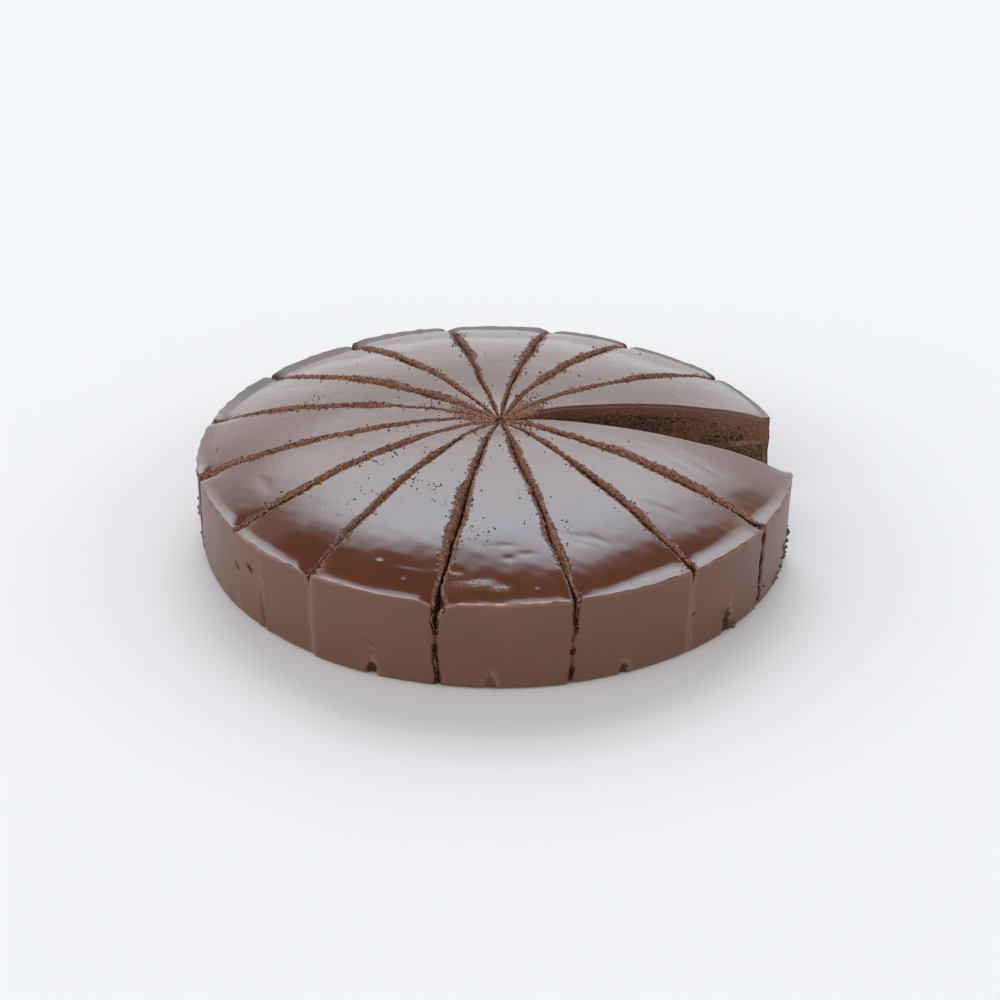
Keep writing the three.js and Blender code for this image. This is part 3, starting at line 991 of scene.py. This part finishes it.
def apply_nodes(piece, tree, values):
    """Runs a Geometry Nodes tree on a piece and keeps the result as its plain mesh."""
    modifier = piece.modifiers.new(tree.name, "NODES")
    modifier.node_group = tree
    sockets = {s.name: s.identifier for s in tree.interface.items_tree if s.in_out == "INPUT"}
    for label, value in values.items():
        modifier[sockets[label]] = value
    bpy.context.view_layer.update()
    made = bpy.data.meshes.new_from_object(piece.evaluated_get(bpy.context.evaluated_depsgraph_get()))
    piece.modifiers.remove(modifier)
    old = piece.data
    piece.data = made
    bpy.data.meshes.remove(old)
    made.name = piece.name


def crumb_face_tree():
    """Roughens the faces that the knife left: grains that stand out, and open pores."""
    tree, maker, given = geometry_tree("crumb_face", dict.fromkeys(SPONGE_FACE, "Float"))
    place = maker.add("GeometryNodeInputPosition").outputs[0]
    facing = maker.add("GeometryNodeInputNormal").outputs[0]
    wobble = maker.scaled(maker.noise(place, PORE_WOBBLES, output="Color"), PORE_SHIFT)
    bent = maker.vector("ADD", place, wobble).outputs[0]
    pore_scale, grain_scale = (maker.math("DIVIDE", 1.0, given[size]) for size in ("Pore Size", "Grain Size"))
    cells = maker.add("ShaderNodeTexVoronoi", {"Vector": bent, "Scale": pore_scale}).outputs["Distance"]
    open_here = maker.fit(maker.noise(place, PORE_PATCHES, 3.0), 0.44, 0.62)
    pore = maker.times(maker.fit(cells, 0.12, 0.5, 1.0, 0.0), open_here)
    grain = maker.minus(maker.noise(place, grain_scale, 3.0, 0.6), 0.5)
    raised = maker.times(grain, maker.times(given["Grain Height"], 2.0))
    height = maker.minus(raised, maker.times(pore, given["Pore Depth"]))
    offset = maker.scaled(facing, maker.times(height, maker.named("cut")))
    moved = maker.add("GeometryNodeSetPosition", {"Geometry": given["Geometry"], "Offset": offset}).outputs[0]
    # Where the pores are is kept for the sponge's painted shade
    maker.add("NodeGroupOutput", {"Geometry": maker.stored(moved, "pore", pore)})
    return tree


def crumbs_tree():
    """Scatters crumbs over a bed, as thick as its attribute says, each with its own lumps."""
    tree, maker, given = geometry_tree("crumbs", {**CRUMB_INPUTS, "Material": "Material"})
    density = maker.times(maker.named("crumbs"), given["Crumbs per Square Metre"])
    bed = {"Mesh": given["Geometry"], "Density": density, "Seed": given["Seed"]}
    spots = maker.add("GeometryNodeDistributePointsOnFaces", bed).outputs["Points"]
    draw = maker.add("FunctionNodeRandomValue", {"Seed": given["Seed"]}, data_type="FLOAT").outputs["Value"]
    most = maker.minus(given["Largest"], given["Smallest"])
    size = maker.plus(given["Smallest"], maker.times(maker.math("POWER", draw, MOSTLY_SMALL), most))
    spin = maker.drawn_vector(given["Seed"], 0.0, FULL_TURN)
    squash = maker.drawn_vector(given["Seed"], *CRUMB_SQUASH)
    ball = maker.add("GeometryNodeMeshIcoSphere", {"Radius": 0.5, "Subdivisions": given["Roundness"]})
    balls = {
        "Points": maker.stored(spots, "size", size),
        "Instance": ball.outputs["Mesh"],
        "Rotation": maker.add("FunctionNodeEulerToRotation", {"Euler": spin}).outputs[0],
        "Scale": maker.scaled(squash, size),
    }
    placed = maker.add("GeometryNodeInstanceOnPoints", balls).outputs[0]
    crumbs = maker.add("GeometryNodeRealizeInstances", {"Geometry": placed}).outputs[0]
    place = maker.add("GeometryNodeInputPosition").outputs[0]
    lumps = maker.noise(place, CRUMB_LUMPS, output="Color")
    centred = maker.vector("SUBTRACT", lumps, (0.5, 0.5, 0.5)).outputs[0]
    lumpy = {"Geometry": crumbs, "Offset": maker.scaled(centred, maker.named("size"))}
    crumbs = maker.add("GeometryNodeSetPosition", lumpy).outputs[0]
    coloured = maker.add("GeometryNodeSetMaterial", {"Geometry": crumbs, "Material": given["Material"]})
    maker.add("NodeGroupOutput", {"Geometry": coloured.outputs[0]})
    return tree


def bed_of_sheets(name, sheets):
    """A mesh to scatter crumbs on, from rows and columns of points and how thick the crumbs lie there."""
    points, faces, thick = [], [], []
    first = 0
    for grid, amount in sheets:
        rows, columns = grid.shape[:2]
        index = first + np.arange(rows * columns).reshape(rows, columns)
        corners = np.stack([index[:-1, :-1], index[1:, :-1], index[1:, 1:], index[:-1, 1:]], axis=-1)
        points.append(grid.reshape(-1, 3))
        faces += corners.reshape(-1, 4).tolist()
        thick.append(amount.ravel())
        first += rows * columns
    return solid(name, np.concatenate(points), faces, None, {"crumbs": np.concatenate(thick)})


def make_crumbs(name, sheets, tree, kind, material):
    piece = bed_of_sheets(name, sheets)
    apply_nodes(piece, tree, {**dict(zip(CRUMB_INPUTS, kind)), "Material": material})
    finish_piece(piece, "sponge")


def new_material(name):
    """A new material, with a maker for its nodes, its shader and the places on the piece."""
    material = bpy.data.materials.new(name)
    material.use_nodes = True
    material.node_tree.nodes.clear()
    maker = NodeMaker(material.node_tree)
    shader = maker.add("ShaderNodeBsdfPrincipled")
    maker.add("ShaderNodeOutputMaterial", {"Surface": shader.outputs[0]})
    place = maker.add("ShaderNodeTexCoord").outputs["Object"]
    return material, maker, shader, place


def icing_skin(maker, place, side):
    """The fine relief of the icing's skin, with the faint strokes of the knife that spread it on the top."""
    inputs = {
        "Vector": place,
        "Rotation": (0, 0, STROKE_TURN),
        "Scale": (STROKE_LENGTH, STROKE_WIDTH, STROKE_LENGTH),
    }
    along_strokes = maker.add("ShaderNodeMapping", inputs, vector_type="TEXTURE").outputs[0]
    stroke = maker.fit(maker.noise(along_strokes, 1.0, 1.0), 0.50, 0.80)
    right_hand = maker.add("ShaderNodeSeparateXYZ", {0: place}).outputs["X"]
    deep_stroke = maker.times(maker.fit(right_hand, *STROKES_DEEPEN, FAINT_STROKES, 1.0), STROKE_DEPTH)
    stroked = maker.times(stroke, maker.times(deep_stroke, maker.minus(1.0, side)))
    return maker.minus(maker.times(maker.noise(place, SKIN_GRAINS), SKIN_HEIGHT), stroked)


def icing_material():
    """Satin fudge icing, glossier on top than on its side, crumbly where the knife went, with painted shade
    and a painted rim highlight.
    """
    material, maker, shader, place = new_material("fudge_icing")
    cut, side, rim, scuff, dark = (maker.look(label) for label in ("cut", "side", "rim", "scuff", "dark"))
    scrape = maker.noise(place, SCRAPES, 3.0)
    speck = maker.noise(place, SPECKS, 3.0)

    cloud = maker.fit(maker.noise(place, ICING_CLOUDS, 3.0), 0.35, 0.65)
    icing = maker.blend(side, maker.blend(cloud, *TOP_TONES), maker.blend(cloud, *SIDE_TONES))
    # A pale painted highlight along the rim, stronger and weaker in spots
    highlight_strength = maker.fit(maker.noise(place, RIM_HIGHLIGHT_SPOTS), 0.35, 0.65, 0.5, 1.0)
    icing = maker.blend(maker.times(rim, highlight_strength), icing, RIM_HIGHLIGHT_COLOUR)
    scuffed = maker.times(scuff, maker.fit(scrape, 0.40, 0.60, 0.3, 1.0))
    icing = maker.blend(maker.times(scuffed, SCUFF_SHOWS), icing, SCUFF_COLOUR)
    # Painted shade in chips, nicks and cracks and on the lip at the back
    icing = maker.blend(dark, icing, SHADE_COLOUR)
    crumb = maker.blend(maker.fit(speck, 0.36, 0.62), *GROOVE_TONES)
    # Painted shade at the bottom of a groove and in the walls of shut cuts
    crumb = maker.blend(maker.fit(cut, *BOTTOM_SHADE_RISES, 0.0, BOTTOM_SHADE), crumb, GROOVE_SHADE_COLOUR)
    ragged = maker.plus(cut, maker.times(maker.minus(speck, 0.5), CRUMBS_RAG))
    crumbly = maker.fit(ragged, *CRUMBS_BEGIN)

    polish = maker.plus(TOP_ROUGHNESS, maker.times(side, SIDE_ROUGHER))
    polish = maker.plus(polish, maker.times(maker.noise(place, POLISH_PATCHES, 3.0), UNEVEN_POLISH))
    # Crumbs and scuffs are rougher. Where painted shade lies the icing is also rougher and has no shine, so
    # the shade stays dark.
    dulled = maker.larger(crumbly, maker.larger(dark, maker.times(scuff, SCUFF_ROUGHER)))
    matt = maker.larger(dark, maker.times(crumbly, CRUMBS_MATT))
    grit = maker.times(speck, maker.times(crumbly, GROOVE_SPECK_HEIGHT))
    scratch = maker.times(scrape, maker.times(scuff, SCRAPE_HEIGHT))
    maker.fill(shader, {
        "Base Color": maker.blend(crumbly, icing, crumb),
        "Roughness": maker.plus(polish, maker.times(dulled, CRUMBS_ROUGHER)),
        "Specular IOR Level": maker.fit(matt, 0.0, 1.0, 0.5, 0.0),
        "Normal": maker.bump(maker.plus(maker.plus(grit, scratch), icing_skin(maker, place, side))),
    })
    return material


def sponge_material():
    """Dark, open chocolate sponge: lighter grains, and pores darkened with painted shade."""
    material, maker, shader, place = new_material("chocolate_sponge")
    patch = maker.fit(maker.noise(place, SPONGE_PATCHES, 3.0), 0.40, 0.62)
    grain = maker.noise(place, SPONGE_GRAINS, 3.0, 0.65)
    crumb = maker.blend(maker.fit(grain, 0.46, 0.68), maker.blend(patch, *SPONGE_TONES), SPONGE_GRAIN_COLOUR)
    maker.fill(shader, {
        # Painted shade in the pores
        "Base Color": maker.blend(maker.fit(maker.look("pore"), 0.15, 0.9), crumb, SPONGE_PORE_SHADE),
        "Roughness": 0.92,
        "Specular IOR Level": 0.25,
        "Normal": maker.bump(maker.times(grain, SPONGE_GRAIN_HEIGHT)),
    })
    return material


def filling_material():
    """Soft fudge with sponge crumbs dragged over it by the knife."""
    material, maker, shader, place = new_material("fudge_filling")
    drag = maker.noise(place, FILLING_DRAGS, 3.0, 0.6)
    maker.fill(shader, {
        "Base Color": maker.blend(maker.fit(drag, 0.40, 0.62), *FILLING_TONES),
        "Roughness": maker.fit(drag, 0.35, 0.65, 0.5, 0.8),
        "Normal": maker.bump(maker.times(drag, DRAG_HEIGHT)),
    })
    return material


def crumb_material(name, tones):
    """Dry crumbs, with the pale fringe that their fine grain gives them."""
    material, maker, shader, place = new_material(name)
    maker.fill(shader, {
        "Base Color": maker.blend(maker.fit(maker.noise(place, CRUMB_SHADES), 0.36, 0.64), *tones),
        "Roughness": 0.8,
        "Specular IOR Level": 0.25,
        "Sheen Weight": 0.35,
        "Sheen Roughness": 0.5,
        "Sheen Tint": CRUMB_SHEEN,
        "Normal": maker.bump(maker.times(maker.noise(place, CRUMB_GRAINS), CRUMB_GRAIN_HEIGHT)),
    })
    return material


def floor_material():
    material, maker, shader, place = new_material("pale_floor")
    colour = maker.blend(maker.noise(place, FLOOR_SHADES), *FLOOR_TONES)
    maker.fill(shader, {"Base Color": colour, "Roughness": 0.85, "Specular IOR Level": 0.2})
    return material


def make_camera():
    """The photograph's viewpoint, found by fitting the cuts and the rim."""
    outward = math.cos(VIEW_ELEVATION)
    upward = math.sin(VIEW_ELEVATION)
    ahead = Vector((0, outward, -upward))
    above = Vector((0, upward, outward))
    right = Vector((1, 0, 0))
    ahead = (
        ahead * math.cos(VIEW_YAW) * math.cos(VIEW_PITCH)
        + right * math.sin(VIEW_YAW) * math.cos(VIEW_PITCH)
        + above * math.sin(VIEW_PITCH)
    ).normalized()
    right = ahead.cross(Vector((0, 0, 1))).normalized()
    above = right.cross(ahead)
    rolled_right = right * math.cos(VIEW_ROLL) + above * math.sin(VIEW_ROLL)
    rolled_above = above * math.cos(VIEW_ROLL) - right * math.sin(VIEW_ROLL)
    data = bpy.data.cameras.new("camera")
    data.sensor_width = SENSOR_WIDTH
    data.lens = SENSOR_WIDTH * FOCAL_PIXELS / PICTURE_SIDE
    camera = bpy.data.objects.new("camera", data)
    stand = Vector((0, -VIEW_DISTANCE * outward, VIEW_DISTANCE * upward + VIEW_CENTRE_HEIGHT))
    turned = Matrix((rolled_right, rolled_above, -ahead)).transposed().to_4x4()
    camera.matrix_world = Matrix.Translation(stand) @ turned
    bpy.context.scene.collection.objects.link(camera)
    bpy.context.scene.camera = camera


def room_light(maker, parts):
    """Strength of the light from all round, low as a ring and dimmer overhead."""
    before = maker.fit(parts["X"], *LEFT_TO_MIDDLE, RING_LEFT, RING_BEFORE)
    ring = maker.fit(parts["Y"], *FRONT_TO_BACK, before, RING_ASIDE)
    ring = maker.plus(ring, maker.fit(parts["Y"], *ASIDE_TO_BEHIND, 0.0, RING_BEHIND - RING_ASIDE))
    low = maker.fit(parts["Z"], sine(RING_TOP), sine(OVERHEAD_FOOT), 1.0, 0.0)
    overhead = maker.fit(parts["Y"], *FRONT_TO_BACK, OVERHEAD_BEFORE, OVERHEAD_BEHIND)
    return maker.plus(maker.times(ring, low), overhead)


def round_light(maker, towards, parts):
    """Strength and tint of the round soft light behind the cake, which is brightest near its top."""
    turn, rise = math.radians(LIGHT_TURN), math.radians(LIGHT_RISE)
    middle = (math.sin(turn) * math.cos(rise), math.cos(turn) * math.cos(rise), math.sin(rise))
    near = maker.vector("DOT_PRODUCT", towards, middle).outputs["Value"]
    full, faded = (cosine(degrees) for degrees in LIGHT_FADES)
    inside, outside = (cosine(degrees) for degrees in LIGHT_EDGE)
    start, end = (sine(degrees) for degrees in LIGHT_BRIGHTENS)
    disc = maker.times(maker.fit(near, faded, full, LIGHT_FADED, 1.0), maker.fit(near, outside, inside))
    glow = maker.times(disc, maker.fit(parts["Z"], start, end, 0.0, LIGHT_BRIGHTNESS))
    return glow, maker.blend(maker.fit(parts["Z"], start, end), LOW_TINT, HIGH_TINT)


def make_studio():
    """A pale floor, and soft light from all round with a round soft light behind the cake."""
    world = bpy.data.worlds.new("studio")
    world.use_nodes = True
    bpy.context.scene.world = world
    maker = NodeMaker(world.node_tree)
    maker.tree.nodes.clear()
    towards = maker.add("ShaderNodeTexCoord").outputs["Generated"]
    parts = maker.add("ShaderNodeSeparateXYZ", {0: towards}).outputs
    glow, tint = round_light(maker, towards, parts)
    room = {"Strength": room_light(maker, parts), "Color": (*ROOM_TINT, 1)}
    around = maker.add("ShaderNodeBackground", room).outputs[0]
    behind = maker.add("ShaderNodeBackground", {"Strength": glow, "Color": tint}).outputs[0]
    both = maker.add("ShaderNodeAddShader", {0: around, 1: behind}).outputs[0]
    maker.add("ShaderNodeOutputWorld", {"Surface": both})
    bpy.context.scene.view_settings.view_transform = "Standard"
    corners = FLOOR_HALF * np.array([[-1, -1, 0], [1, -1, 0], [1, 1, 0], [-1, 1, 0]], float)
    solid("floor", corners, [[0, 1, 2, 3]], floor_material())


def groove_crumb_cover(cut):
    """How thick the crumbs lie in the grooves, by how crumbly they are."""
    return np.clip(GROOVE_COVER * cut, 0, 1) * (1 - FEWER_AT_BOTTOM * between(cut, *BOTTOM_STARTS))


def loose_crumb_cover(top, cut, beside):
    """How thick the loose crumbs lie on a wedge's top: in heaps, and along the grooves' edges."""
    radius = np.hypot(top[..., 0], top[..., 1])
    angle = np.arctan2(top[..., 1], top[..., 0]) % FULL_TURN
    heaps = 0
    for degrees, away, spread, thick in CRUMB_HEAPS:
        heaps = heaps + thick * at_spot(radius, angle, degrees, away, spread, spread)
    clusters = np.clip(CLUSTER_MEAN + CLUSTER_SWING * crumb_clusters(top), *CLUSTER_LIMITS)
    return (heaps + HALO_COVER * beside * clusters + STRAY_COVER) * (cut < LOOSE_ENDS)


def side_crumb_cover(side):
    """How thick the crumbs that stick to a wedge's side lie there."""
    angle = np.arctan2(side[..., 1], side[..., 0]) % FULL_TURN
    cover = 0
    for degrees, height, spread, thick in SIDE_CRUMBS:
        along = (angle - math.radians(degrees)) * CAKE_RADIUS / spread
        above = (side[..., 2] - height) / spread
        cover = cover + thick * np.exp(-(along**2) - above**2)
    return cover


def make_cake():
    """All the wedges, and the crumbs in their grooves, on their tops and on their sides."""
    icing, sponge, filling = icing_material(), sponge_material(), filling_material()
    cut_crumb = crumb_material("cut_crumb", CUT_CRUMB_TONES)
    loose_crumb = crumb_material("loose_crumb", LOOSE_CRUMB_TONES)
    face_tree = crumb_face_tree()
    groove_beds, top_beds, side_beds = [], [], []
    top_end = TOP_ROWS + RIM_ROWS
    for wedge in wedges():
        outer, cut, beside = make_icing(wedge, icing)
        make_sponge_and_filling(wedge, face_tree, sponge, filling)
        top, side = outer[:top_end], outer[top_end:]
        groove_beds.append((top, groove_crumb_cover(cut[:top_end])))
        top_beds.append((top, loose_crumb_cover(top, cut[:top_end], beside[:top_end])))
        side_beds.append((side, side_crumb_cover(side)))
    tree = crumbs_tree()
    make_crumbs("cut_crumbs", groove_beds, tree, CUT_CRUMBS, cut_crumb)
    make_crumbs("loose_crumbs", top_beds, tree, LOOSE_CRUMBS, loose_crumb)
    make_crumbs("side_crumbs", side_beds, tree, STUCK_CRUMBS, loose_crumb)


make_camera()
make_cake()
make_studio()
